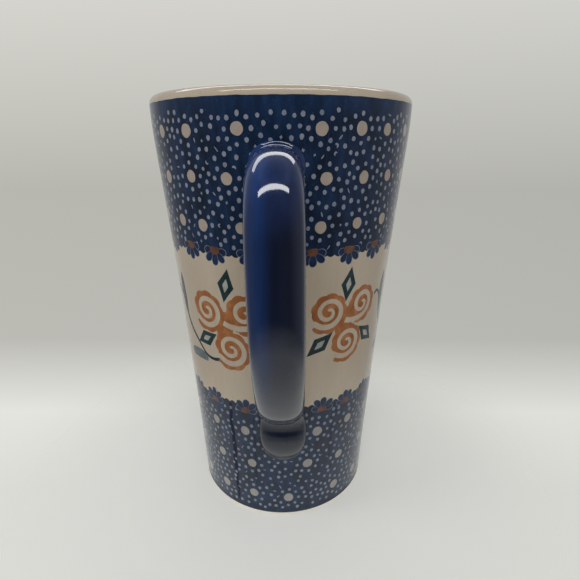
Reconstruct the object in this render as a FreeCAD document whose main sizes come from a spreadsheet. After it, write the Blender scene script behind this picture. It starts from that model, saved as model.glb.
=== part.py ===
"""Stoneware mug: a tall tapered cup and a strap handle, luted together with slip and glazed.

Millimetres. The origin is the centre of the foot's underside, +Z is up and the handle points
along -Y. The clay comes first, then the slip that joins the handle to the cup, then the coats
of glaze. Each coat shares its inner face with the clay or slip below it.
"""
import FreeCAD, Part
import math
import os
import re

import Sketcher

DRIVING_DIMENSIONS = [
    # the cup's clay
    ("clay_height", "147.65"),
    ("rim_radius", "43.15"),
    ("foot_radius", "33.4"),
    ("wall_thick", "4.2"),
    ("wall_thick_low", "4.8"),
    ("wall_curve", "2900"),
    ("rim_band", "8"),
    ("foot_edge", "2"),
    ("floor_height", "8"),
    ("floor_corner", "9"),
    ("recess_radius", "27"),
    ("recess_depth", "2.6"),
    ("recess_bevel", "0.6"),
    # the handle's clay: its section, then the corners and bends of its centre line
    ("strap_width", "13.3"),
    ("strap_thick", "9.4"),
    ("strap_corner", "4.3"),
    ("arm_start", "40"),
    ("arm_height", "127.4"),
    ("grip_reach", "65.9"),
    ("grip_foot", "80.5"),
    ("elbow_reach", "38.4"),
    ("elbow_height", "51.8"),
    ("tail_reach", "27.6"),
    ("tail_height", "26"),
    ("shoulder_bend", "12"),
    ("grip_bend", "26"),
    ("elbow_bend", "17"),
    # the slip squeezed out round each end of the handle
    ("slip_thick", "0.8"),
    ("slip_near", "20"),
    ("slip_far", "30"),
    ("upper_slip_width", "15.9"),
    ("upper_slip_tall", "12.4"),
    ("upper_slip_corner", "5.8"),
    ("lower_slip_width", "17.5"),
    ("lower_slip_tall", "35"),
    ("lower_slip_corner", "8.1"),
    ("lower_slip_height", "47.1"),
    # the glaze
    ("glaze_thick", "0.35"),
]

FULL_TURN = 360
UPRIGHT = FreeCAD.Rotation(FreeCAD.Vector(1, 0, 0), 90)
HANDLE_PLANE = FreeCAD.Rotation(
    FreeCAD.Vector(0, -1, 0), FreeCAD.Vector(0, 0, 1), FreeCAD.Vector(-1, 0, 0), "XYZ"
)

doc = FreeCAD.newDocument("stoneware_mug")
sheet = doc.addObject("Spreadsheet::Sheet", "Dims")
for row, (alias, size) in enumerate(DRIVING_DIMENSIONS, start=1):
    sheet.set(f"A{row}", alias)
    sheet.set(f"B{row}", size)
    sheet.setAlias(f"B{row}", alias)
doc.recompute()


def in_sheet(expression):
    """An expression of bare dimension names, pointed at the sheet."""
    return re.sub(r"[a-z_]+", lambda name: "Dims." + name.group(), expression)


def number(sketch, expression):
    return float(sketch.evalExpression(in_sheet(expression)))


def bind(sketch, kind, *places, to):
    """A dimension constraint that takes its value from the sheet."""
    index = sketch.addConstraint(Sketcher.Constraint(kind, *places, number(sketch, to)))
    sketch.setExpression(f"Constraints[{index}]", in_sheet(to))


def pin(sketch, geometry, point, across, up):
    """Hold one point of the geometry at a place given by two expressions."""
    bind(sketch, "DistanceX", -1, 1, geometry, point, to=across)
    bind(sketch, "DistanceY", -1, 1, geometry, point, to=up)


def arc_between(start, end, radius, side):
    """The shorter arc from start to end with its centre on that side of the way."""
    chord = end - start
    half = chord.Length / 2
    normal = FreeCAD.Vector(-chord.y, chord.x, 0).normalize()
    if side == "right":
        normal = -normal
    centre = (start + end) / 2 + normal * math.sqrt(max(radius**2 - half**2, 0))
    first, last = (start, end) if side == "left" else (end, start)
    angles = [math.atan2(p.y - centre.y, p.x - centre.x) for p in (first, last)]
    circle = Part.Circle(centre, FreeCAD.Vector(0, 0, 1), radius)
    return Part.ArcOfCircle(circle, angles[0], angles[1])


def outline(sketch, *corners):
    """A closed outline. A corner is (across, up), and (across, up, side, radius) where an arc leaves it."""
    places = [FreeCAD.Vector(number(sketch, c[0]), number(sketch, c[1]), 0) for c in corners]
    ends = []
    for i, corner in enumerate(corners):
        start, end = places[i], places[(i + 1) % len(places)]
        if len(corner) == 2:
            edge = sketch.addGeometry(Part.LineSegment(start, end))
            ends.append((edge, 1, 2))
            continue
        side, radius = corner[2:]
        edge = sketch.addGeometry(arc_between(start, end, number(sketch, radius), side))
        ends.append((edge, 1, 2) if side == "left" else (edge, 2, 1))
        bind(sketch, "Radius", edge, to=radius)
    for i, corner in enumerate(corners):
        edge, start, _ = ends[i]
        before, _, end = ends[i - 1]
        sketch.addConstraint(Sketcher.Constraint("Coincident", before, end, edge, start))
        pin(sketch, edge, start, corner[0], corner[1])


def body_sketch(body, name):
    """A sketch on the body's own XZ plane: across is radius, up is height."""
    sketch = body.newObject("Sketcher::SketchObject", name)
    plane = next(f for f in body.Origin.OriginFeatures if f.Role == "XZ_Plane")
    sketch.AttachmentSupport = [(plane, "")]
    sketch.MapMode = "FlatFace"
    doc.recompute()
    return sketch


def turned_body(label, *corners):
    """A body of revolution about Z, from its half section."""
    body = doc.addObject("PartDesign::Body", label)
    body.Label = label
    section = body_sketch(body, label + "_section")
    outline(section, *corners)
    turning = body.newObject("PartDesign::Revolution", label + "_turning")
    turning.Profile = section
    turning.ReferenceAxis = (section, ["V_Axis"])
    turning.Angle = FULL_TURN
    section.Visibility = False
    doc.recompute()
    return body


def free_sketch(name, rotation):
    sketch = doc.addObject("Sketcher::SketchObject", name)
    sketch.Placement = FreeCAD.Placement(FreeCAD.Vector(), rotation)
    return sketch


def united(name, *pieces):
    fusion = doc.addObject("Part::MultiFuse", name)
    fusion.Shapes = list(pieces)
    return fusion


def shared(name, one, other):
    common = doc.addObject("Part::MultiCommon", name)
    common.Shapes = [one, other]
    return common


def without(name, piece, tool):
    cut = doc.addObject("Part::Cut", name)
    cut.Base = piece
    cut.Tool = tool
    return cut


def wall_side(offset):
    """The outline up the outside, from the foot to the lip's spring line, moved outwards."""
    return [
        (f"foot_radius + {offset}", "foot_edge", "right", "wall_curve"),
        (f"rim_radius + {offset}", "clay_height - rim_band"),
        (f"rim_radius + {offset}", "clay_height - wall_thick / 2"),
    ]


def lining_side(offset):
    """The outline over the lip and down the inside to the axis, moved off the clay."""
    lip = f"wall_thick / 2 + {offset}"
    inner = f"rim_radius - wall_thick - {offset}"
    low = "foot_radius - wall_thick_low"
    return [
        (f"rim_radius + {offset}", "clay_height - wall_thick / 2", "left", lip),
        ("rim_radius - wall_thick / 2", f"clay_height + {offset}", "left", lip),
        (inner, "clay_height - wall_thick / 2"),
        (inner, "clay_height - rim_band", "left", "wall_curve"),
        (f"{low} - {offset}", "floor_height + floor_corner", "right", f"floor_corner - {offset}"),
        (f"{low} - floor_corner", f"floor_height + {offset}"),
        ("0", f"floor_height + {offset}"),
    ]


def backwards(chain):
    """The same open outline, followed the other way."""
    other = {"left": "right", "right": "left"}
    steps = []
    for before, here in zip([chain[0][:2]] + chain[:-1], chain):
        bend = before[2:]
        steps.append(here[:2] + ((other[bend[0]], bend[1]) if bend else ()))
    return steps[::-1]


def rounded_box(sketch, width, tall, corner, offset, height="0"):
    """A rounded rectangle about the sketch's upright axis, grown by an offset."""
    side = f"({width} / 2 + {offset})"
    rise = f"({tall} / 2 + {offset})"
    bend = f"({corner} + {offset})"
    flat_x = f"({width} / 2 - {corner})"
    flat_y = f"({tall} / 2 - {corner})"
    outline(
        sketch,
        (f"0 - {flat_x}", f"{height} - {rise}"),
        (flat_x, f"{height} - {rise}", "left", bend),
        (side, f"{height} - {flat_y}"),
        (side, f"{height} + {flat_y}", "left", bend),
        (flat_x, f"{height} + {rise}"),
        (f"0 - {flat_x}", f"{height} + {rise}", "left", bend),
        (f"0 - {side}", f"{height} + {flat_y}"),
        (f"0 - {side}", f"{height} - {flat_y}", "left", bend),
    )


# ---- the cup: one piece of clay with a rounded lip, and a foot ring round a shallow recess

def make_cup():
    return turned_body(
        "cup_body",
        ("recess_radius + recess_bevel", "0"),
        ("foot_radius - foot_edge", "0", "left", "foot_edge"),
        *wall_side("0")[:2],
        *lining_side("0"),
        ("0", "recess_depth"),
        ("recess_radius", "recess_depth"),
        ("recess_radius", "recess_bevel"),
    )


def make_envelope(name, offset):
    """All the space inside the wall's outer face, once that face is moved outwards."""
    low, high, _ = wall_side(offset)
    return turned_body(name, ("0", low[1]), low, high, ("0", high[1]))


# ---- the handle: a strap of rounded section, bent to a grip and cut to sit on the slip

def make_spine():
    """The strap's centre line: arm, grip, slope and tail, joined by tangent bends."""
    sketch = free_sketch("strap_spine", HANDLE_PLANE)
    corners = [
        ("arm_start", "arm_height"),
        ("grip_reach", "arm_height"),
        ("grip_reach", "grip_foot"),
        ("elbow_reach", "elbow_height"),
        ("tail_reach", "tail_height"),
    ]
    bends = ["shoulder_bend", "grip_bend", "elbow_bend"]
    places = [FreeCAD.Vector(number(sketch, x), number(sketch, y), 0) for x, y in corners]
    starts, finishes, sides = [places[0]], [], []
    for before, corner, after, bend in zip(places, places[1:], places[2:], bends):
        way_in = (corner - before).normalize()
        way_out = (after - corner).normalize()
        reach = number(sketch, bend) * math.tan(way_in.getAngle(way_out) / 2)
        finishes.append(corner - way_in * reach)
        starts.append(corner + way_out * reach)
        sides.append("left" if way_in.cross(way_out).z > 0 else "right")
    finishes.append(places[-1])
    runs = [sketch.addGeometry(Part.LineSegment(a, b)) for a, b in zip(starts, finishes)]
    for i, (bend, side) in enumerate(zip(bends, sides)):
        turn = arc_between(finishes[i], starts[i + 1], number(sketch, bend), side)
        arc = sketch.addGeometry(turn)
        first, last = (1, 2) if side == "left" else (2, 1)
        sketch.addConstraint(Sketcher.Constraint("Tangent", runs[i], 2, arc, first))
        sketch.addConstraint(Sketcher.Constraint("Tangent", arc, last, runs[i + 1], 1))
        bind(sketch, "Radius", arc, to=bend)
        corner = sketch.addGeometry(Part.Point(places[i + 1]), True)
        pin(sketch, corner, 1, *corners[i + 1])
        sketch.addConstraint(Sketcher.Constraint("PointOnObject", corner, 1, runs[i]))
        sketch.addConstraint(Sketcher.Constraint("PointOnObject", corner, 1, runs[i + 1]))
    pin(sketch, runs[0], 1, *corners[0])
    pin(sketch, runs[-1], 2, *corners[-1])
    doc.recompute()
    return sketch


def make_strap(name, spine, offset):
    """The strap's section, grown by an offset, swept along the centre line."""
    section = free_sketch(name + "_section", UPRIGHT)
    section.setExpression("Placement.Base.y", in_sheet("0 - arm_start"))
    section.setExpression("Placement.Base.z", in_sheet("arm_height"))
    rounded_box(section, "strap_width", "strap_thick", "strap_corner", offset)
    sweep = doc.addObject("Part::Sweep", name)
    sweep.Sections = [section]
    sweep.Spine = (spine, [f"Edge{i + 1}" for i in range(len(spine.Shape.Edges))])
    sweep.Solid = True
    sweep.Frenet = False
    return sweep


# ---- the slip: a thin collar on the wall round each end of the handle

def make_bar(name, end, height, offset):
    """The collar's outline at the upper or lower end, as a bar running out through the wall."""
    sketch = free_sketch(name + "_outline", UPRIGHT)
    sketch.setExpression("Placement.Base.y", in_sheet("0 - slip_near"))
    sizes = [f"{end}_slip_{side}" for side in ("width", "tall", "corner")]
    rounded_box(sketch, *sizes, offset, height)
    bar = doc.addObject("Part::Extrusion", name)
    bar.Base = sketch
    bar.DirMode = "Normal"
    bar.setExpression("LengthFwd", in_sheet("slip_far"))
    bar.Solid = True
    return bar


# ---- the glaze: a coat outside, a liner that laps over the lip, and a disc in the recess

def make_liner():
    return turned_body("liner_glaze", *lining_side("glaze_thick"), *backwards(lining_side("0")))


def make_outer_coat():
    return turned_body("outer_coat", *wall_side("0"), *backwards(wall_side("glaze_thick")))


def make_base_coat():
    disc = doc.addObject("Part::Cylinder", "base_glaze")
    disc.setExpression("Radius", in_sheet("recess_radius"))
    disc.setExpression("Height", in_sheet("glaze_thick"))
    disc.setExpression("Placement.Base.z", in_sheet("recess_depth - glaze_thick"))
    return disc


cup = make_cup()
wall_face = make_envelope("wall_face", "0")
slip_face = make_envelope("slip_face", "slip_thick")
coat_face = make_envelope("coat_face", "slip_thick + glaze_thick")

spine = make_spine()
handle = without("handle", make_strap("strap", spine, "0"), slip_face)
grown_strap = make_strap("grown_strap", spine, "glaze_thick")

slip_layer = without("slip_layer", slip_face, wall_face)
collars, collar_coats, grown_bars = [], [], []
for end, height in (("upper", "arm_height"), ("lower", "lower_slip_height")):
    bar = make_bar(f"{end}_bar", end, height, "0")
    grown_bar = make_bar(f"{end}_grown_bar", end, height, "glaze_thick")
    collars.append(shared(f"{end}_handle_joint", bar, slip_layer))
    collar_coats.append(shared(f"{end}_collar_coat", grown_bar, coat_face))
    grown_bars.append(grown_bar)

liner = make_liner()
body_coat = without("body_glaze", make_outer_coat(), united("grown_bars", *grown_bars))
coated = united("coated_handle", grown_strap, *collar_coats)
handle_coat = without("handle_glaze", coated, united("under_coat", wall_face, handle, *collars))
base_coat = make_base_coat()

doc.recompute()
for thing in doc.Objects:
    if "Invalid" in thing.State or "Error" in thing.State:
        raise RuntimeError(f"{thing.Name} did not build: {thing.State}")

os.makedirs("parts", exist_ok=True)
for node in [cup, handle, *collars, liner, body_coat, handle_coat, base_coat]:
    node.Label = node.Name
    shape = node.Shape
    if shape.isNull() or not shape.isValid() or not shape.Solids:
        raise RuntimeError(f"{node.Label} has no sound solid")
    shape.exportStep(f"parts/{node.Label}.step")
    box = shape.optimalBoundingBox(True)
    print(
        f"{node.Label}: {len(shape.Solids)} solid, {shape.Volume:.1f} mm3, z {box.ZMin:.2f} to {box.ZMax:.2f},"
        f" y {box.YMin:.2f} to {box.YMax:.2f}, x {box.XMin:.2f} to {box.XMax:.2f}"
    )
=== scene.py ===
import math
import random

import bpy
import numpy as np
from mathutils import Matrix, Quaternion, Vector
from mathutils.geometry import delaunay_2d_cdt


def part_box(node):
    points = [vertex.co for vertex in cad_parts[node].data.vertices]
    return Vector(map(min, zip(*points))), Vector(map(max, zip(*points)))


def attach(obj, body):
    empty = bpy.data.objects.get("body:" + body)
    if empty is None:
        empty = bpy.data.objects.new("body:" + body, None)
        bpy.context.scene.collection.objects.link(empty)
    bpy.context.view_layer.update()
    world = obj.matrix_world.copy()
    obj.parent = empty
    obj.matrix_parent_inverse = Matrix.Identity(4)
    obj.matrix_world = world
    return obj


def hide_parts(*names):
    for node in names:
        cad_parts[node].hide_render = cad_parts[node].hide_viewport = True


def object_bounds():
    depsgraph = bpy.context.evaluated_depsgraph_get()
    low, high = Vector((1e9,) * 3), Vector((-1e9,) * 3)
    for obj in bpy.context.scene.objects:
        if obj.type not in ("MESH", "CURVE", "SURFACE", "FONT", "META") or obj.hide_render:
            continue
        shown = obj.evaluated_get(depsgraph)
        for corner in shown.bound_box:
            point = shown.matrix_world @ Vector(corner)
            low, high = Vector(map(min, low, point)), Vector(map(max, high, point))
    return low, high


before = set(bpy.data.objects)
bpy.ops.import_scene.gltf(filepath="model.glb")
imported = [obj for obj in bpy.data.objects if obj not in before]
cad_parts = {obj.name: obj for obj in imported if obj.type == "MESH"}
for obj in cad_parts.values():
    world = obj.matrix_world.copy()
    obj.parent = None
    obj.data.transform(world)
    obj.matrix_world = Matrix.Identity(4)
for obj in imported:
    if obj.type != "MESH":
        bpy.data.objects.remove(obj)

# A tall stoneware mug. The painted outside is worked out on the wall unrolled flat: across is
# the azimuth, 0 at the handle (-Y) and growing towards +X, and up is the height. Every stamp
# and stroke is an outline on that plane. The plane is cut along all the outlines at once and
# wrapped back onto the wall, so each paint is a piece of its own and all of them meet edge to
# edge under one glaze. Lengths are millimetres until a piece is made.

CAD_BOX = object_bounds()
MM = 0.001
TURN = 2 * math.pi
rng = random.Random(7)


# ---- sizes, from the frame

def low(node):
    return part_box(node)[0] / MM


def high(node):
    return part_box(node)[1] / MM


def lowest_radius(node):
    """The outer radius of a turned node at its lowest height."""
    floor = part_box(node)[0].z + 0.1 * MM
    spread = [math.hypot(v.co.x, v.co.y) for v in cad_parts[node].data.vertices if v.co.z < floor]
    return max(spread) / MM


HEIGHT = CAD_BOX[1].z / MM
RIM_RADIUS = high("body_glaze").x
FOOT_RADIUS = lowest_radius("body_glaze")
FOOT_LINE = low("body_glaze").z
LIP_LINE = high("body_glaze").z
GLAZE = high("body_glaze").x - high("cup_body").x
FLOOR_HEIGHT = low("liner_glaze").z + GLAZE
RECESS_RADIUS = high("base_glaze").x
RECESS_HEIGHT = low("base_glaze").z

# The wall is a cone that bows inwards, by the bow half way up, and eases into an upright rim band.
RIM_BAND = 5.9
RIM_BAND_LINE = LIP_LINE - RIM_BAND
WALL_BOW = 0.81
RIM_EASE = 0.5
# The glaze ends in a rolled edge just under the foot line, tucked in against the bare clay.
FOOT_ROLL = 0.85
FOOT_TUCK = 0.55
GLAZE_EDGE = FOOT_LINE - FOOT_ROLL


def wall_radius(z):
    """The glazed wall's radius at a height, with the rolled edge below the foot line."""
    if z < FOOT_LINE:
        roll = min((FOOT_LINE - z) / FOOT_ROLL, 1)
        return FOOT_RADIUS - FOOT_TUCK * (1 - math.sqrt(1 - roll * roll))
    t = (z - FOOT_LINE) / (RIM_BAND_LINE - FOOT_LINE)
    cone = FOOT_RADIUS + (RIM_RADIUS - FOOT_RADIUS) * t - 4 * WALL_BOW * t * (1 - t)
    return (cone + RIM_RADIUS - math.sqrt((cone - RIM_RADIUS) ** 2 + RIM_EASE**2)) / 2


def wall_slope(z):
    step = 0.02
    return (wall_radius(z + step) - wall_radius(z - step)) / (2 * step)


def on_wall(azimuth, z):
    radius = wall_radius(z)
    return Vector((radius * math.sin(azimuth), -radius * math.cos(azimuth), z))


def wall_normal(azimuth, z):
    return Vector((math.sin(azimuth), -math.cos(azimuth), -wall_slope(z))).normalized()


# ---- materials

def new_material(name):
    material = bpy.data.materials.new(name)
    material.use_nodes = True
    nodes = material.node_tree.nodes
    return material, nodes, material.node_tree.links, nodes["Principled BSDF"]


def noise(nodes, links, scale, detail=3.0, stretch=(1, 1, 1)):
    """Noise in object space. Scale counts features per metre before the stretch."""
    place = nodes.new("ShaderNodeTexCoord")
    mapping = nodes.new("ShaderNodeMapping")
    mapping.inputs["Scale"].default_value = stretch
    texture = nodes.new("ShaderNodeTexNoise")
    texture.inputs["Scale"].default_value = scale
    texture.inputs["Detail"].default_value = detail
    links.new(place.outputs["Object"], mapping.inputs["Vector"])
    links.new(mapping.outputs["Vector"], texture.inputs["Vector"])
    return texture.outputs["Fac"]


def ramp(nodes, links, factor, stops):
    """Colours by place from 0 to 1, as (place, colour) stops."""
    node = nodes.new("ShaderNodeValToRGB")
    links.new(factor, node.inputs["Fac"])
    elements = node.color_ramp.elements
    while len(elements) < len(stops):
        elements.new(0.5)
    for element, (place, colour) in zip(elements, stops):
        element.position = place
        element.color = (*colour, 1)
    return node.outputs["Color"]


def blend_colours(nodes, links, mode, amount, one, other):
    node = nodes.new("ShaderNodeMix")
    node.data_type = "RGBA"
    node.blend_type = mode
    if isinstance(amount, float):
        node.inputs[0].default_value = amount
    else:
        links.new(amount, node.inputs[0])
    links.new(one, node.inputs[6])
    links.new(other, node.inputs[7])
    return node.outputs[2]


def bump(nodes, links, shader, height, distance, strength=1.0, coat=False):
    node = nodes.new("ShaderNodeBump")
    node.inputs["Distance"].default_value = distance
    node.inputs["Strength"].default_value = strength
    links.new(height, node.inputs["Height"])
    links.new(node.outputs["Normal"], shader.inputs["Normal"])
    if coat:
        links.new(node.outputs["Normal"], shader.inputs["Coat Normal"])


def share_along(nodes, links, axis, start, end):
    """The way along an axis of the object, from 0 at the start to 1 at the end, in metres."""
    place = nodes.new("ShaderNodeTexCoord")
    split = nodes.new("ShaderNodeSeparateXYZ")
    links.new(place.outputs["Object"], split.inputs[0])
    share = nodes.new("ShaderNodeMapRange")
    share.inputs["From Min"].default_value = start
    share.inputs["From Max"].default_value = end
    links.new(split.outputs[axis], share.inputs["Value"])
    return share.outputs["Result"]


def thinned_and_painted_light(nodes, links, colour, foot, top, added):
    """The colour with some more added, from none at the foot height to all of it at the top. It stands
    for glaze that thins near the lip, and elsewhere for painted light and shade by height.
    """
    share = share_along(nodes, links, "Z", foot, top)
    light = ramp(nodes, links, share, [(0.0, (0, 0, 0)), (1.0, added)])
    return blend_colours(nodes, links, "ADD", 1.0, colour, light)


def glaze_coat(nodes, links, shader, weight=1.0, roughness=0.05, ior=1.45):
    """A clear glossy coat that isn't quite flat, over a body that hardly shines by itself."""
    shader.inputs["Roughness"].default_value = 0.6
    shader.inputs["Specular IOR Level"].default_value = 0.05
    shader.inputs["Coat Weight"].default_value = weight
    shader.inputs["Coat Roughness"].default_value = roughness
    shader.inputs["Coat IOR"].default_value = ior
    ripple = noise(nodes, links, 55.0)
    bump(nodes, links, shader, ripple, 0.0006, 0.35, coat=True)


def glazed(name, colours, scale, stretch=(1, 1, 1), fleck=None, depth=0.35, thinning_and_light=None, coat=1.0):
    """Paint under clear glaze: mottled, streaked down the wall, flecked if asked, and lighter upwards if
    asked: thinner glaze near the lip, painted shade darker towards the foot.
    """
    material, nodes, links, shader = new_material(name)
    mottle = noise(nodes, links, scale, 5.0, stretch)
    colour = ramp(nodes, links, mottle, colours)
    streak = noise(nodes, links, 900.0, 2.0, (1, 1, 0.06))
    shade = ramp(nodes, links, streak, [(0.3, (0.80,) * 3), (0.7, (1.0,) * 3)])
    colour = blend_colours(nodes, links, "MULTIPLY", depth, colour, shade)
    if fleck:
        grains = noise(nodes, links, 2600.0, 1.0)
        spots = ramp(nodes, links, grains, [(0.70, (0, 0, 0)), (0.74, (1, 1, 1))])
        fleck_colour = nodes.new("ShaderNodeRGB")
        fleck_colour.outputs[0].default_value = (*fleck, 1)
        colour = blend_colours(nodes, links, "MIX", spots, colour, fleck_colour.outputs[0])
    # Lighter upwards: the lip's cobalt thins, and the darker foot of the dots and marks is painted shade.
    if thinning_and_light:
        colour = thinned_and_painted_light(nodes, links, colour, *thinning_and_light)
    links.new(colour, shader.inputs["Base Color"])
    glaze_coat(nodes, links, shader, coat)
    return material


COBALT = [(0.30, (0.0070, 0.0145, 0.031)), (0.50, (0.0085, 0.0245, 0.064)), (0.72, (0.016, 0.042, 0.110))]
COBALT_DEEP = [(0.30, (0.002, 0.005, 0.027)), (0.75, (0.004, 0.009, 0.046))]
COBALT_THIN = [(0.30, (0.010, 0.021, 0.055)), (0.75, (0.022, 0.050, 0.130))]
CREAM = [(0.30, (0.61, 0.507, 0.380)), (0.70, (0.71, 0.605, 0.466))]
DOTS = [(0.30, (0.345, 0.328, 0.299)), (0.70, (0.402, 0.391, 0.367))]
PALE = [(0.30, (0.17, 0.215, 0.305)), (0.70, (0.30, 0.325, 0.385))]
RUST = [(0.30, (0.34, 0.115, 0.035)), (0.55, (0.47, 0.18, 0.062)), (0.75, (0.60, 0.27, 0.115))]
BROWN = [(0.30, (0.10, 0.045, 0.030)), (0.70, (0.235, 0.105, 0.058))]
TEAL = [(0.30, (0.010, 0.030, 0.034)), (0.70, (0.026, 0.062, 0.068))]
HEART = [(0.30, (0.40, 0.42, 0.38)), (0.70, (0.60, 0.58, 0.51))]
LEAF = [(0.30, (0.095, 0.135, 0.135)), (0.70, (0.23, 0.285, 0.28))]
# Where a colour gets lighter upwards: the heights in metres between which it does, and the colour that
# adds.
# At the lip the cobalt thins. On the dots and pale marks it is painted shade, darker towards the foot.
# On the handle it is painted light, the shoulder lit from above.
THIN_AT_LIP = (0.139, 0.1465, (0.0035, 0.010, 0.030))
# Painted shade: the cream dots and the pale marks are darker towards the foot.
PAINTED_SHADE_DOTS = (0.045, 0.10, (0.12, 0.056, 0.014))
PAINTED_SHADE_MARKS = (0.045, 0.10, (0.05, 0.045, 0.045))
# Painted light: the handle's shoulder is lighter and bluer, as lit from above.
PAINTED_SHOULDER_LIGHT = (0.114, 0.129, (0.007, 0.024, 0.100))
# The handle's colours across the strap from left to right, with painted light and reflection in them:
# bluer and lighter at the left, a little lighter at the right edge, and dark in the middle. Below its
# lower bend the deep ones take over, without that painted light. The edges' distance from the middle
# and the bend's heights are metres.
STRAP_EDGE = 0.0075
HANDLE_BLUES_PAINTED_LIGHT = [
    (0.04, (0.008, 0.028, 0.105)), (0.24, (0.007, 0.030, 0.122)), (0.46, (0.0065, 0.012, 0.038)),
    (0.72, (0.0060, 0.0095, 0.028)), (0.95, (0.012, 0.020, 0.050)),
]
HANDLE_DEEP = [(0.3, (0.006, 0.012, 0.030)), (0.7, (0.008, 0.015, 0.040))]
LOWER_BEND = (0.058, 0.088)


def bare_clay():
    material, nodes, links, shader = new_material("bare_stoneware")
    tone = noise(nodes, links, 300.0, 6.0)
    colour = ramp(nodes, links, tone, [(0.3, (0.42, 0.33, 0.23)), (0.7, (0.56, 0.46, 0.34))])
    links.new(colour, shader.inputs["Base Color"])
    shader.inputs["Roughness"].default_value = 0.85
    grain = noise(nodes, links, 3500.0, 4.0)
    bump(nodes, links, shader, grain, 0.00012, 0.6)
    return material


def handle_glaze():
    """Cobalt run thick: deep and nearly black. Painted light makes it bluer at the left and over the
    shoulder, and a painted reflection darkens the middle of the strap.
    """
    material, nodes, links, shader = new_material("handle_cobalt")
    across = share_along(nodes, links, "X", -STRAP_EDGE, STRAP_EDGE)
    # Painted light and reflection across the strap: bluer at the left, dark in the middle.
    colour = ramp(nodes, links, across, HANDLE_BLUES_PAINTED_LIGHT)
    deep = ramp(nodes, links, noise(nodes, links, 420.0), HANDLE_DEEP)
    above_bend = share_along(nodes, links, "Z", *LOWER_BEND)
    colour = blend_colours(nodes, links, "MIX", above_bend, deep, colour)
    # Painted light: lighter and bluer over the shoulder, as lit from above.
    colour = thinned_and_painted_light(nodes, links, colour, *PAINTED_SHOULDER_LIGHT)
    streak = noise(nodes, links, 420.0, 3.0, (1, 1, 0.10))
    shade = ramp(nodes, links, streak, [(0.3, (0.70,) * 3), (0.7, (1.15,) * 3)])
    colour = blend_colours(nodes, links, "MULTIPLY", 0.8, colour, shade)
    links.new(colour, shader.inputs["Base Color"])
    glaze_coat(nodes, links, shader, roughness=0.07, ior=1.62)
    return material


MATERIALS = {
    "cobalt": glazed("cobalt_ground", COBALT, 330.0, (1, 1, 0.4), fleck=(0.03, 0.06, 0.17), depth=0.6,
                     thinning_and_light=THIN_AT_LIP),
    "cream": glazed("cream_ground", CREAM, 45.0, (1, 1, 0.5), fleck=(0.50, 0.42, 0.30), depth=0.2),
    "outline": glazed("paint_gap", CREAM, 300.0),
    # The cream dots and pale marks carry painted shade, darker towards the foot.
    "big_dots": glazed("cream_dots", DOTS, 500.0, thinning_and_light=PAINTED_SHADE_DOTS),
    "pale": glazed("pale_paint", PALE, 380.0, thinning_and_light=PAINTED_SHADE_MARKS),
    "petals": glazed("petal_blue", COBALT_THIN, 420.0),
    "runs": glazed("cobalt_runs", COBALT_DEEP, 300.0, coat=0.4),
    "centres": glazed("brown_centres", BROWN, 500.0),
    "rosettes": glazed("rust_rosettes", RUST, 330.0, (1, 1, 0.8)),
    "diamonds": glazed("green_diamonds", TEAL, 400.0),
    "hearts": glazed("diamond_hearts", HEART, 400.0),
    "stems": glazed("green_stems", TEAL, 400.0),
    "leaves": glazed("brushed_leaves", LEAF, 700.0, (0.5, 0.5, 3)),
    "lining": glazed("cream_lining", CREAM, 45.0, fleck=(0.42, 0.33, 0.22), depth=0.0),
    "handle": handle_glaze(),
    "clay": bare_clay(),
}


# ---- making pieces

TURNED_STEPS = 180


def finish_piece(piece, paint, slot, *nodes):
    """Give a piece its material and body, and let it stand for the CAD nodes named. The slot is not used.
    """
    piece.data.materials.clear()
    piece.data.materials.append(MATERIALS[paint])
    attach(piece, "root")
    if nodes:
        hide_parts(*nodes)
    return piece


def make_mesh(name, places, faces, normals=None, flat_map=None):
    """A smooth piece from places in millimetres, with its own normals and unwrapping if given."""
    mesh = bpy.data.meshes.new(name)
    mesh.from_pydata([tuple(c * MM for c in place) for place in places], [], faces)
    mesh.shade_smooth()
    if flat_map:
        layer = mesh.uv_layers.new(name="OFBake")
        loops = np.empty(len(mesh.loops), np.int32)
        mesh.loops.foreach_get("vertex_index", loops)
        layer.data.foreach_set("uv", np.array(flat_map, np.float32)[loops].ravel())
    if normals:
        mesh.normals_split_custom_set_from_vertices([tuple(n) for n in normals])
    piece = bpy.data.objects.new(name, mesh)
    bpy.context.scene.collection.objects.link(piece)
    return piece


def turned(name, profile):
    """A surface of revolution. The profile's (radius, height) points run with outside on the right."""
    places, faces, spots = [], [], []
    rows = len(profile)
    for i in range(TURNED_STEPS + 1):
        angle = TURN * (i / TURNED_STEPS - 0.5)
        for j, (radius, z) in enumerate(profile):
            places.append((radius * math.sin(angle), -radius * math.cos(angle), z))
            spots.append((i / TURNED_STEPS, j / (rows - 1)))
    for i in range(TURNED_STEPS):
        for j in range(rows - 1):
            a = i * rows + j
            faces.append((a, a + rows, a + rows + 1, a + 1))
    return make_mesh(name, places, faces, flat_map=spots)


# ---- outlines: closed lists of (across, up) in millimetres about a motif's own centre

PETAL_POINTS = 18


def blob(across, up, wobble=0.05, count=16, turn=0.0):
    """An ellipse with a slightly uneven edge, as a stamp or a brush dab leaves it."""
    lobes = [(k, rng.uniform(0, TURN), rng.uniform(0.3, 1.0) * wobble) for k in (2, 3, 5)]
    points = []
    for i in range(count):
        a = TURN * i / count
        size = 1 + sum(depth * math.cos(k * a + start) for k, start, depth in lobes)
        points.append((across * size * math.cos(a), up * size * math.sin(a)))
    return turned_by(points, turn)


def turned_by(points, angle):
    c, s = math.cos(angle), math.sin(angle)
    return [(x * c - y * s, x * s + y * c) for x, y in points]


def moved(points, across, up):
    return [(x + across, y + up) for x, y in points]


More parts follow.
